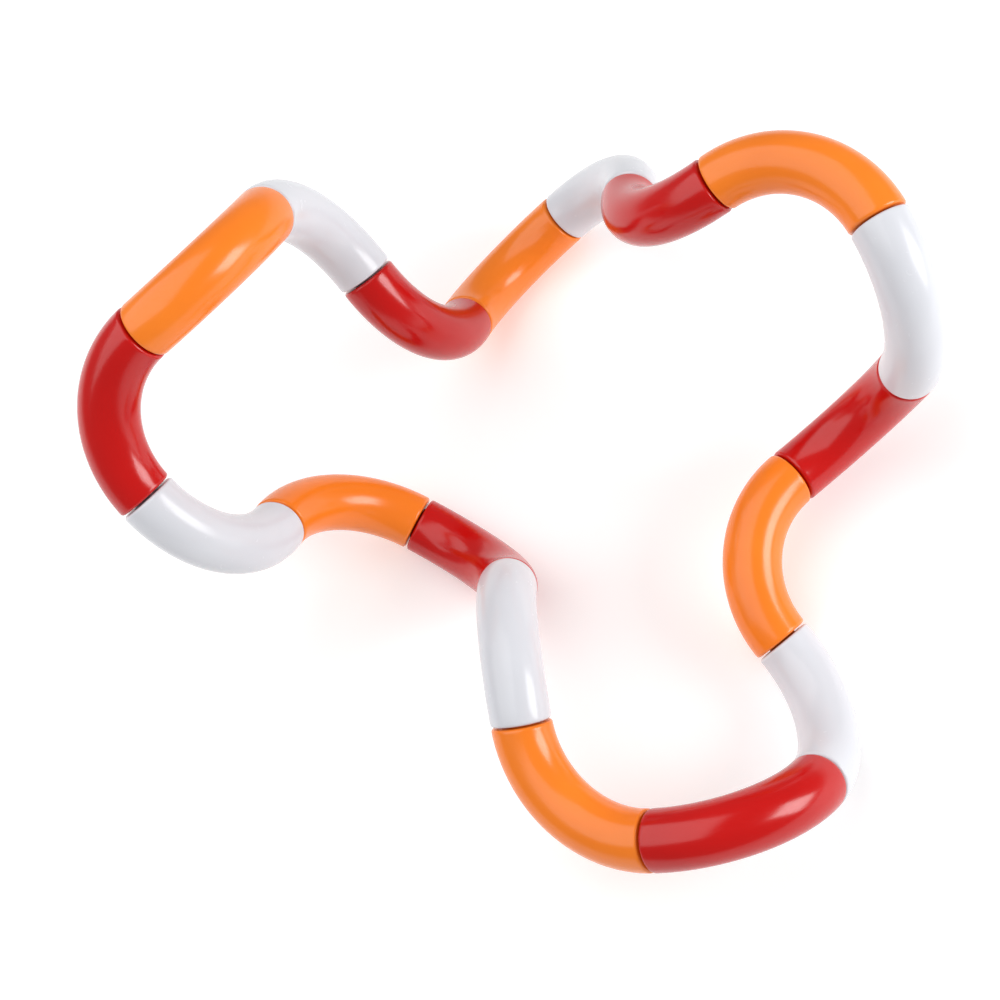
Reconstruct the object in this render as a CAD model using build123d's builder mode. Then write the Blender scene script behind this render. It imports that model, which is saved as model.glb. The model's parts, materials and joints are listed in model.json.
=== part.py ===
from build123d import *
import os
from math import atan2, cos, pi, radians, sin, sqrt

import numpy as np

# Twisty snake puzzle: an endless chain of equal quarter-bend tube links. A snap plug pressed into
# the leading end of each link turns without a stop in the socket of the link in front of it.
# Millimetres, +Z up. The chain lies on the table at Z = 0, with the middle of its box over the origin.

# The chain
link_count = 18
colours = ("red", "orange", "white")
bend_radius = 28.0  # of a link's centre line, from pivot to pivot

# The moulded tube
tube_diameter = 14.0
tube_wall = 1.2
rim_gap = 0.5  # between the rims of two neighbours
rim_round = 0.7

# The pivot: a plug with a snap lip behind the collar of the next link's socket
neck_diameter = 7.4
neck_clearance = 0.2  # all round, so that the links can rock a little
socket_depth = 2.0
socket_lead = 0.4  # bevel that lets the lip in
lip_grip = 0.35  # how far the lip stands out past the collar, all round
lip_play = 0.3  # along the pivot
lip_land = 0.7
tip_length = 1.3
tip_diameter = 6.6
core_diameter = 4.0
slit_width = 0.8

# The plug's root, pressed into a seat in the leading end of its own tube
root_diameter = 9.0
root_length = 3.0

# The rest pose: the twist at each pivot in degrees, 0 where the next link bends on in the same
# plane and the same way, 180 where it bends back. Those of the closing pivots are first guesses.
twists = (-126, 51, -103, -92, 136, 60, -81, 118, 128, -29, 156, -80, 92, -85, -172, 82, 8)
closing_pivots = (2, 6, 13, 15, 17)

# How the chain lies: on three of its links, with these directions of the table in link 1's frame
feet = (6, 10, 17)
table_up = Vector(0.54, 0.43, 0.73)
table_right = Vector(-0.01, 0.86, -0.50)

tube_radius = tube_diameter / 2
bore_radius = neck_diameter / 2 + neck_clearance
collar_radius = tube_radius - tube_wall / 2
arc_radius = bend_radius - rim_gap / 2
lip_start = rim_gap / 2 + socket_depth + lip_play
plug_tip = lip_start + lip_land + tip_length


def next_place(place, twist):
    """The frame of the link in front: X along the tube at its trailing pivot, Y into its bend."""
    bend = Location((bend_radius, bend_radius, 0), (0, 0, 90))
    return place * bend * Location((0, 0, 0), (twist, 0, 0))


def chain_places(pivot_twists):
    """The frames of all the links, then the frame that the first link has to have to close the loop."""
    places = [Location((0, 0, 0))]
    for twist in (*pivot_twists, 0):
        places.append(next_place(places[-1], twist))
    return places


def misfit(pivot_twists):
    """How far the last link ends from the trailing pivot of link 1: three offsets and two slopes."""
    end = Plane(chain_places(pivot_twists)[-1])
    return np.array([*(end.origin / bend_radius), end.x_dir.Y, end.x_dir.Z])


def closed(pivot_twists):
    """The twists with the closing pivots turned until the loop closes, by Newton's method."""
    turned = list(pivot_twists)
    while max(abs(misfit(turned))) > 1e-9:
        slopes = []
        for pivot in closing_pivots:
            nudged = list(turned)
            nudged[pivot - 1] += 1e-3
            slopes.append((misfit(nudged) - misfit(turned)) / 1e-3)
        steps = np.linalg.solve(np.array(slopes).T, misfit(turned))
        for pivot, step in zip(closing_pivots, steps):
            turned[pivot - 1] -= float(step)
    return turned


def arc_point(place, angle):
    """The point of a link's centre line at this angle of its bend, in radians."""
    local = Vector(rim_gap / 2 + arc_radius * sin(angle), arc_radius * (1 - cos(angle)), 0)
    return Plane(place).from_local_coords(local)


def lowest_point(place, up):
    """The point of a link's centre line that is lowest above the table."""
    frame = Plane(place)
    angle = atan2(-frame.x_dir.dot(up), frame.y_dir.dot(up))
    return arc_point(place, min(max(angle, 0), pi / 2))


def reach(places, direction):
    """How far the chain's tubes reach along a direction."""
    farthest = -1e9
    for place in places:
        frame = Plane(place)
        for degree in range(91):
            angle = radians(degree)
            heading = frame.x_dir * cos(angle) + frame.y_dir * sin(angle)
            slant = heading.dot(direction)
            point = arc_point(place, angle)
            farthest = max(farthest, point.dot(direction) + tube_radius * sqrt(max(1 - slant**2, 0)))
    return farthest


def settled(places):
    """The places of the links with the chain's feet level on the table and its box centred."""
    up = table_up.normalized()
    for _ in range(50):
        low = [lowest_point(places[foot - 1], up) for foot in feet]
        normal = (low[1] - low[0]).cross(low[2] - low[0]).normalized()
        up = normal if normal.dot(up) > 0 else -normal
    right = (table_right - up * table_right.dot(up)).normalized()
    away = up.cross(right)
    middle = right * ((reach(places, right) - reach(places, -right)) / 2)
    middle += away * ((reach(places, away) - reach(places, -away)) / 2)
    floor = up * (low[0].dot(up) - tube_radius)
    table = Plane(origin=middle + floor, x_dir=right, z_dir=up)
    return [table.location.inverse() * place for place in places]


def trailing_rim(place):
    """The plane of a link's trailing rim, with its normal into the tube."""
    frame = Plane(place)
    return Plane(frame.from_local_coords((rim_gap / 2, 0, 0)), x_dir=frame.y_dir, z_dir=frame.x_dir)


def leading_rim(place):
    """The plane of a link's leading rim, with its normal back into the tube."""
    frame = Plane(place)
    centre = frame.from_local_coords((bend_radius, bend_radius - rim_gap / 2, 0))
    return Plane(centre, x_dir=frame.x_dir, z_dir=-frame.y_dir)


def link_tube(place):
    """A quarter-bend tube with the socket's collar at its trailing end and the plug's seat at the other."""
    socket = trailing_rim(place)
    seat = leading_rim(place)
    bend = Axis(Plane(place).from_local_coords((rim_gap / 2, arc_radius, 0)), Plane(place).z_dir)
    with BuildPart() as tube:
        with BuildSketch(socket):
            Circle(tube_radius)
            Circle(tube_radius - tube_wall, mode=Mode.SUBTRACT)
        revolve(axis=bend, revolution_arc=90)
        with BuildSketch(socket):
            Circle(collar_radius)
        extrude(amount=socket_depth)
        with BuildSketch(seat):
            Circle(collar_radius)
        extrude(amount=root_length)
        rims = [edge for edge in tube.edges().filter_by(GeomType.CIRCLE) if is_rim(edge)]
        fillet(rims, radius=rim_round)
        with BuildSketch(socket):
            Circle(bore_radius)
        extrude(amount=socket_depth, mode=Mode.SUBTRACT)
        with BuildSketch(socket):
            Circle(bore_radius + socket_lead)
        extrude(amount=socket_lead, taper=45, mode=Mode.SUBTRACT)
        with BuildSketch(seat):
            Circle(root_diameter / 2)
        extrude(amount=root_length, mode=Mode.SUBTRACT)
    return tube.part


def is_rim(edge):
    """Whether a round edge is the outer edge of a tube's rim."""
    return abs(edge.radius - tube_radius) < 1e-4


def snap_plug(place):
    """The plug in a link's leading end: root, neck and a slit snap lip, on the pivot to the next link."""
    frame = Plane(place)
    pivot = frame.from_local_coords((bend_radius, bend_radius, 0))
    half_section = Plane(pivot, x_dir=frame.y_dir, z_dir=-frame.x_dir)
    tip = Plane(pivot + frame.y_dir * plug_tip, x_dir=frame.x_dir, z_dir=-frame.y_dir)
    rim = -rim_gap / 2
    lip_radius = bore_radius + lip_grip
    with BuildPart() as plug:
        with BuildSketch(half_section):
            with BuildLine():
                Polyline(
                    (rim - root_length, core_diameter / 2),
                    (rim - root_length, root_diameter / 2),
                    (rim, root_diameter / 2),
                    (rim, neck_diameter / 2),
                    (lip_start, neck_diameter / 2),
                    (lip_start, lip_radius),
                    (lip_start + lip_land, lip_radius),
                    (plug_tip, tip_diameter / 2),
                    (plug_tip, core_diameter / 2),
                    close=True,
                )
            make_face()
        revolve(axis=Axis(pivot, frame.y_dir), revolution_arc=360)
        with BuildSketch(tip):
            Rectangle(slit_width, 2 * lip_radius + slit_width)
            Rectangle(2 * lip_radius + slit_width, slit_width)
        extrude(amount=plug_tip - rim_gap / 2, mode=Mode.SUBTRACT)
    return plug.part


def write(piece, name):
    """Writes one piece under its name."""
    piece.label = name
    export_step(piece, f"parts/{name}.step")


places = settled(chain_places(closed(twists)))[:link_count]

if __name__ == "__main__":
    os.makedirs("parts", exist_ok=True)
    for index, place in enumerate(places):
        name = f"link_{index + 1:02d}_{colours[index % len(colours)]}"
        write(link_tube(place), f"{name}_tube")
        write(snap_plug(place), f"{name}_plug")
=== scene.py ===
import json
from math import pi, radians, sqrt

import bmesh
import bpy
from mathutils import Matrix, Vector


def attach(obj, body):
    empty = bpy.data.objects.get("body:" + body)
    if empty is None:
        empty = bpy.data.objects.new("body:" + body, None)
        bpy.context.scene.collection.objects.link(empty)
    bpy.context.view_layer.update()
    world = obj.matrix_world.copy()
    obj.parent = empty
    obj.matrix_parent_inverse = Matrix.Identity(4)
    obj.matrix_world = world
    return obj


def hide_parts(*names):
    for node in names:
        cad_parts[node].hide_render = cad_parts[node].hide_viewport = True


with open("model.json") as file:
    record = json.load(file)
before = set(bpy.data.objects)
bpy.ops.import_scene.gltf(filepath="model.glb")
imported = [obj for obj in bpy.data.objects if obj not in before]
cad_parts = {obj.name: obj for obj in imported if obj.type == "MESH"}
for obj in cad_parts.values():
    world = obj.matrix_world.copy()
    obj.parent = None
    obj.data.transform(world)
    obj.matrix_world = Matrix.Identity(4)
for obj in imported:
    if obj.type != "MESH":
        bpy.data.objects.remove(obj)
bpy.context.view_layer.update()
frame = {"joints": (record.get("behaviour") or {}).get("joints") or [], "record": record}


# Where the links lie. The chain is 18 quarter bends, each with a pivot at both ends. The pivots'
# places and axes come from the frame, and each link's own axes follow from its two pivots: X along
# the tube at the trailing pivot, Y along it at the leading pivot.
link_count = 18
opened_pivot = 6  # between links 6 and 7, where the frame has no joint

pivots = {}
for joint in frame["joints"]:
    number = int(joint["name"].split("_")[1])
    pivots[number] = (Vector(joint["pos_m"]), Vector(joint["axis"]).normalized())


def quarter_axes(start, start_axis, end, end_axis):
    """The headings of a link at its two pivots, which point from the trailing one to the leading one."""
    span = end - start
    heading_in = start_axis if start_axis.dot(span) > 0 else -start_axis
    heading_out = end_axis if end_axis.dot(span) > 0 else -end_axis
    return heading_in, heading_out


link_frames = {}
for number in range(2, link_count + 1):
    if number in (opened_pivot, opened_pivot + 1):
        continue
    start, start_axis = pivots[number - 1]
    end, end_axis = pivots[number]
    link_frames[number] = (start, *quarter_axes(start, start_axis, end, end_axis))
last_place, last_axis = pivots[link_count]
link_frames[1] = (last_place, *quarter_axes(last_place, last_axis, *pivots[1]))
bend_radius = (pivots[2][0] - pivots[1][0]).length / sqrt(2)

# The two links beside the opened pivot take that pivot's axis from the socket that the frame states.
socket = next(m for m in frame["record"]["mounts"] if m["name"] == "open_socket")
opened_axis = -Vector(socket["axis"]).normalized()
ahead, ahead_axis = pivots[opened_pivot + 1]
ahead_axis = ahead_axis if ahead_axis.dot(ahead - Vector(socket["pos_m"])) > 0 else -ahead_axis
opened_place = ahead - bend_radius * (opened_axis + ahead_axis)
link_frames[opened_pivot + 1] = (opened_place, opened_axis, ahead_axis)
behind, behind_axis = pivots[opened_pivot - 1]
behind_axis = behind_axis if behind_axis.dot(opened_place - behind) > 0 else -behind_axis
link_frames[opened_pivot] = (behind, behind_axis, opened_axis)


def link_matrix(number):
    """The turn and move that take a link modelled at the origin to its place in the chain."""
    place, along, bend = link_frames[number]
    across = along.cross(bend)
    turn = Matrix((along, bend, across)).transposed().to_4x4()
    return Matrix.Translation(place) @ turn


# The plastic. Every piece is injection-moulded from one of three glossy coloured polymers. The moulding
# leaves the colour very slightly uneven, and the gloss is broken by a faint orange peel and by
# hairline scuffs from handling.
def moulded_plastic(name, deep, pale, roughness):
    """A glossy moulded plastic: deep and pale are the limits of its slightly uneven colour."""
    material = bpy.data.materials.new(name)
    material.use_nodes = True
    nodes, links = material.node_tree.nodes, material.node_tree.links
    shader = nodes["Principled BSDF"]
    place = nodes.new("ShaderNodeTexCoord")

    flow = nodes.new("ShaderNodeTexNoise")  # streaks of pigment, a few to each link
    flow.inputs["Scale"].default_value = 45
    flow.inputs["Detail"].default_value = 3
    tint = nodes.new("ShaderNodeValToRGB")
    tint.color_ramp.elements[0].position = 0.3
    tint.color_ramp.elements[0].color = (*deep, 1)
    tint.color_ramp.elements[1].position = 0.7
    tint.color_ramp.elements[1].color = (*pale, 1)
    links.new(place.outputs["Object"], flow.inputs["Vector"])
    links.new(flow.outputs["Fac"], tint.inputs["Fac"])
    links.new(tint.outputs["Color"], shader.inputs["Base Color"])

    scuffs = nodes.new("ShaderNodeTexNoise")  # hairline scuffs in the gloss
    scuffs.inputs["Scale"].default_value = 350
    scuffs.inputs["Detail"].default_value = 3
    scuffs.inputs["Distortion"].default_value = 2
    gloss = nodes.new("ShaderNodeMapRange")
    gloss.inputs["From Min"].default_value = 0.35
    gloss.inputs["From Max"].default_value = 0.75
    gloss.inputs["To Min"].default_value = roughness
    gloss.inputs["To Max"].default_value = roughness + 0.06
    links.new(place.outputs["Object"], scuffs.inputs["Vector"])
    links.new(scuffs.outputs["Fac"], gloss.inputs["Value"])
    links.new(gloss.outputs["Result"], shader.inputs["Roughness"])

    peel = nodes.new("ShaderNodeTexNoise")  # orange peel, about a millimetre across
    peel.inputs["Scale"].default_value = 300
    peel.inputs["Detail"].default_value = 1
    relief = nodes.new("ShaderNodeBump")
    relief.inputs["Strength"].default_value = 0.05
    relief.inputs["Distance"].default_value = 0.00002
    links.new(place.outputs["Object"], peel.inputs["Vector"])
    links.new(peel.outputs["Fac"], relief.inputs["Height"])
    links.new(relief.outputs["Normal"], shader.inputs["Normal"])

    shader.inputs["IOR"].default_value = 1.49
    return material


plastics = {
    "red": moulded_plastic("red_plastic", (0.53, 0.003, 0.002), (0.59, 0.004, 0.003), 0.18),
    "orange": moulded_plastic("orange_plastic", (0.93, 0.21, 0.013), (1.0, 0.24, 0.018), 0.2),
    "white": moulded_plastic("white_plastic", (0.69, 0.70, 0.745), (0.73, 0.74, 0.785), 0.22),
}


# The tubes. Each link is a quarter-bend tube with rounded rims. A collar inside its trailing end is the
# socket, and a seat inside its leading end takes the plug. One tube is modelled at the origin, with its
# trailing pivot there and its bend towards +Y, and copied to the 18 places.
tube_radius = 0.007
tube_wall = 0.0012
rim_gap = 0.0005  # between the rims of two neighbours
rim_round = 0.0007
bore_radius = 0.0039
socket_depth = 0.002
socket_lead = 0.0004
seat_radius = 0.0045
seat_depth = 0.003
seat_run_out = 0.0018  # between the seat and the bent inner wall
inner_radius = tube_radius - tube_wall
arc_radius = bend_radius - rim_gap / 2
bend_centre = Vector((rim_gap / 2, arc_radius, 0))
sides = 96
steps = 36
smooth_angle = radians(40)
near = 0.00001  # places closer than this are the same


def start_ring(name, centre, radius, turn):
    """A ring of edges of this radius, in edit mode, in the plane that turn gives it."""
    bpy.ops.object.select_all(action="DESELECT")
    bpy.ops.mesh.primitive_circle_add(vertices=sides, radius=radius, location=centre, rotation=turn)
    bpy.context.object.name = name
    bpy.ops.object.transform_apply(location=True, rotation=True, scale=True)
    bpy.ops.object.mode_set(mode="EDIT")
    bpy.ops.mesh.select_mode(type="VERT")
    bpy.ops.mesh.select_all(action="SELECT")
    return bpy.context.object


def next_ring(centre, move, scale):
    """Extrudes the selected ring, moves the copy by move and scales it about its own centre."""
    bpy.ops.mesh.extrude_region_move(TRANSFORM_OT_translate={"value": move})
    bpy.ops.transform.resize(value=(scale, scale, scale), center_override=centre + move)
    return centre + move


def select_vertices(obj, wanted):
    """Selects the vertices, and the edges between them, for which wanted(place) is true."""
    bpy.ops.mesh.select_all(action="DESELECT")
    shape = bmesh.from_edit_mesh(obj.data)
    for vertex in shape.verts:
        vertex.select = wanted(vertex.co)
    shape.select_flush(True)
    bmesh.update_edit_mesh(obj.data)


trailing_centre = Vector((rim_gap / 2, 0, 0))
leading_centre = Vector((bend_radius, bend_radius - rim_gap / 2, 0))
tube = start_ring("tube_pattern", trailing_centre, tube_radius, (0, pi / 2, 0))
bpy.ops.mesh.spin(steps=steps, angle=-pi / 2, center=bend_centre, axis=(0, 0, 1))

# The seat: the leading rim turns in, back and out again to the inner wall.
stay = Vector((0, 0, 0))
centre = next_ring(leading_centre, stay, seat_radius / tube_radius)
centre = next_ring(centre, Vector((0, -seat_depth, 0)), 1)
next_ring(centre, stay, inner_radius / seat_radius)

# The socket: the same at the trailing rim, with a bevelled mouth, and then the inner wall itself.
select_vertices(tube, lambda place: abs(place.x - rim_gap / 2) < near)
centre = next_ring(trailing_centre, stay, (bore_radius + socket_lead) / tube_radius)
centre = next_ring(centre, Vector((socket_lead, 0, 0)), bore_radius / (bore_radius + socket_lead))
centre = next_ring(centre, Vector((socket_depth - socket_lead, 0, 0)), 1)
next_ring(centre, stay, inner_radius / bore_radius)
inner_angle = pi / 2 - (socket_depth + seat_depth + seat_run_out) / arc_radius
bpy.ops.mesh.spin(steps=steps, angle=-inner_angle, center=bend_centre, axis=(0, 0, 1))
bpy.ops.mesh.select_all(action="DESELECT")
bpy.ops.mesh.select_non_manifold()  # the two open ends, a little apart
bpy.ops.mesh.bridge_edge_loops()
bpy.ops.mesh.select_all(action="SELECT")
bpy.ops.mesh.normals_make_consistent(inside=False)


def on_rim(place):
    """Whether a place is on the outer edge of one of the tube's two rims."""
    at_trailing = abs(place.x - rim_gap / 2) < near and abs(place.yz.length - tube_radius) < near
    from_leading = place - leading_centre
    at_leading = abs(from_leading.y) < near and abs(from_leading.xz.length - tube_radius) < near
    return at_trailing or at_leading


select_vertices(tube, on_rim)
bpy.ops.mesh.bevel(offset=rim_round, offset_type="OFFSET", segments=6, profile=0.5, affect="EDGES")
bpy.ops.object.mode_set(mode="OBJECT")
bpy.ops.object.shade_smooth_by_angle(angle=smooth_angle)


# The plugs. Each is a short moulded bush: a root pressed into its own link, a neck that shows in the gap
# between two links, and a snap lip behind the next link's collar. Two crossed slits let the lip spring
# in. It is modelled on the leading pivot of the tube above, as rings along +Y.
neck_radius = 0.0037
core_radius = 0.002
lip_height = 0.00035
lip_radius = bore_radius + lip_height
tip_radius = 0.0033
lip_play = 0.0003
lip_length = 0.0007
tip_length = 0.0013
lip_start = rim_gap / 2 + socket_depth + lip_play
lip_end = lip_start + lip_length
tip = lip_end + tip_length
slit_width = 0.0008
slit_reach = 3 * lip_radius  # well past the lip on both sides
plug_bevel = 0.00012
root_back = -rim_gap / 2 - seat_depth
profile = (
    (root_back, seat_radius),
    (-rim_gap / 2, seat_radius),
    (-rim_gap / 2, neck_radius),
    (lip_start, neck_radius),
    (lip_start, lip_radius),
    (lip_end, lip_radius),
    (tip, tip_radius),
    (tip, core_radius),
    (root_back, core_radius),
)
pivot = Vector((bend_radius, bend_radius, 0))
along_pivot = Vector((0, 1, 0))
centre = pivot + root_back * along_pivot
plug = start_ring("plug_pattern", centre, core_radius, (pi / 2, 0, 0))
reach, radius = root_back, core_radius
for next_reach, next_radius in profile:
    centre = next_ring(centre, (next_reach - reach) * along_pivot, next_radius / radius)
    reach, radius = next_reach, next_radius
bpy.ops.mesh.select_all(action="SELECT")
bpy.ops.mesh.remove_doubles(threshold=near)
bpy.ops.mesh.normals_make_consistent(inside=False)
bpy.ops.object.mode_set(mode="OBJECT")
slit_length = tip - rim_gap / 2
for width, depth in ((slit_width, slit_reach), (slit_reach, slit_width)):
    bpy.ops.object.select_all(action="DESELECT")
    slit_middle = pivot + (tip - slit_length / 2 + near) * along_pivot
    bpy.ops.mesh.primitive_cube_add(size=1, location=slit_middle, scale=(width, slit_length, depth))
    slit = bpy.context.object
    bpy.ops.object.select_all(action="DESELECT")
    plug.select_set(True)
    bpy.context.view_layer.objects.active = plug
    bpy.ops.object.modifier_add(type="BOOLEAN")
    plug.modifiers[-1].object = slit
    plug.modifiers[-1].solver = "EXACT"
    bpy.ops.object.modifier_apply(modifier=plug.modifiers[-1].name)
    bpy.data.objects.remove(slit)
bpy.ops.object.modifier_add(type="BEVEL")
plug.modifiers[-1].width = plug_bevel
plug.modifiers[-1].segments = 2
plug.modifiers[-1].limit_method = "ANGLE"
bpy.ops.object.modifier_apply(modifier=plug.modifiers[-1].name)
bpy.ops.object.shade_smooth_by_angle(angle=smooth_angle)


# The chain. The tubes and plugs go to their 18 places, red, orange and white in turn. A plug has its
# own link's colour, because it is pressed into that link at the moulder's bench.
colours = ("red", "orange", "white")
for number in range(1, link_count + 1):
    colour = colours[(number - 1) % len(colours)]
    for pattern, part in ((tube, "tube"), (plug, "plug")):
        piece = pattern.copy()
        piece.data = pattern.data.copy()
        piece.name = f"{part}_{number:02d}"
        piece.data.name = piece.name
        piece.data.transform(link_matrix(number))
        piece.data.materials.append(plastics[colour])
        bpy.context.scene.collection.objects.link(piece)
        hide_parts(f"link_{number:02d}_{colour}_{part}")
        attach(piece, f"link_{number:02d}")
for pattern in (tube, plug):
    bpy.data.objects.remove(pattern)


# The table: a plain pale sheet that the chain lies on.
bpy.ops.object.select_all(action="DESELECT")
bpy.ops.mesh.primitive_plane_add(size=6, location=(0, 0, 0))
table = bpy.context.object
table.name = "table"
table.data.materials.append(bpy.data.materials.new("pale_table"))
pale = table.data.materials[0]
pale.use_nodes = True
sheet = pale.node_tree.nodes["Principled BSDF"]
sheet.inputs["Base Color"].default_value = (0.85, 0.85, 0.85, 1)
sheet.inputs["Roughness"].default_value = 0.7
sheet.inputs["Emission Color"].default_value = (1, 1, 1, 1)
sheet.inputs["Emission Strength"].default_value = 0.3


# The studio light: a wide soft box above on the left, a small one lower on the right, and a room that
# gives a weak even light.
def soft_box(name, place, aim, size, power):
    """A square area light at place that faces aim."""
    light = bpy.data.lights.new(name, "AREA")
    light.size = size
    light.energy = power
    box = bpy.data.objects.new(name, light)
    box.location = place
    box.rotation_mode = "QUATERNION"
    box.rotation_quaternion = (Vector(aim) - Vector(place)).to_track_quat("-Z", "Y")
    bpy.context.scene.collection.objects.link(box)


soft_box("side_box", (0.75, -0.05, 0.35), (0, 0, 0.04), 0.42, 4.5)
soft_box("top_box", (-0.45, 0.05, 0.85), (0, 0, 0.04), 1.3, 9)
world = bpy.data.worlds.new("studio")
world.use_nodes = True
world.node_tree.nodes["Background"].inputs["Color"].default_value = (1, 1, 1, 1)
world.node_tree.nodes["Background"].inputs["Strength"].default_value = 0.25
bpy.context.scene.world = world
bpy.context.scene.view_settings.view_transform = "Standard"


# The camera: a long lens, high up on the near right of the chain and tilted a little to one side.
camera_place = Vector((0.09242, -0.18325, 0.44132))
camera_forward = Vector((-0.2264, 0.3929, -0.8913))
camera_up = Vector((0.0938, 0.9196, 0.3816))
camera = bpy.data.cameras.new("camera")
camera.lens = 69.53
camera.sensor_width = 36
camera.dof.use_dof = False
stand = bpy.data.objects.new("camera", camera)
right = camera_forward.cross(camera_up).normalized()
up = right.cross(camera_forward).normalized()
turn = Matrix((right, up, -camera_forward.normalized())).transposed().to_4x4()
stand.matrix_world = Matrix.Translation(camera_place) @ turn
bpy.context.scene.collection.objects.link(stand)
bpy.context.scene.camera = stand
